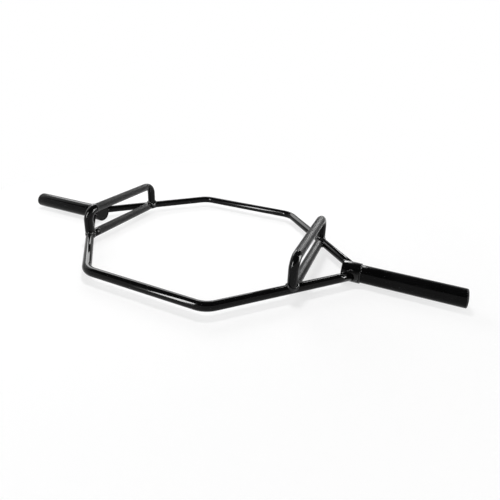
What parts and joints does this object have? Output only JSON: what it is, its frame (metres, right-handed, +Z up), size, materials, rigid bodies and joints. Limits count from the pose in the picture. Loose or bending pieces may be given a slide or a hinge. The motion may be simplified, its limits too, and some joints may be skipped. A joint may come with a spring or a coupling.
{
  "type": "hex trap bar",
  "caption": "Welded hexagonal trap bar: the lifter stands inside the frame and lifts by low or raised knurled handles, with plate sleeves at the ends.",
  "frame": {"origin": "on the floor, under the middle of the hexagon; the bar rests on its collars", "axes": "+X along the plate sleeves to the right, +Y from front to rear, +Z up, the way the raised handles stand"},
  "size_m": [1.5006, 0.671, 0.1235],
  "materials": {
    "frame_paint": "gloss",
    "grip_paint": "satin",
    "cap_plastic": "matte"
  },
  "bodies": {
    "root": {"front_hex_bar": "frame_paint", "rear_hex_bar": "frame_paint", "left_collar": "frame_paint", "left_collar_disc": "frame_paint", "left_sleeve": "frame_paint", "left_sleeve_weld": "frame_paint", "left_end_cap": "cap_plastic", "left_raised_handle": "grip_paint", "left_low_handle": "grip_paint", "front_left_collar_weld": "frame_paint", "front_left_raised_weld": "frame_paint", "front_left_low_weld": "frame_paint", "rear_left_collar_weld": "frame_paint", "rear_left_raised_weld": "frame_paint", "rear_left_low_weld": "frame_paint", "right_collar": "frame_paint", "right_collar_disc": "frame_paint", "right_sleeve": "frame_paint", "right_sleeve_weld": "frame_paint", "right_end_cap": "cap_plastic", "right_raised_handle": "grip_paint", "right_low_handle": "grip_paint", "front_right_collar_weld": "frame_paint", "front_right_raised_weld": "frame_paint", "front_right_low_weld": "frame_paint", "rear_right_collar_weld": "frame_paint", "rear_right_raised_weld": "frame_paint", "rear_right_low_weld": "frame_paint"}
  },
  "joints": []
}
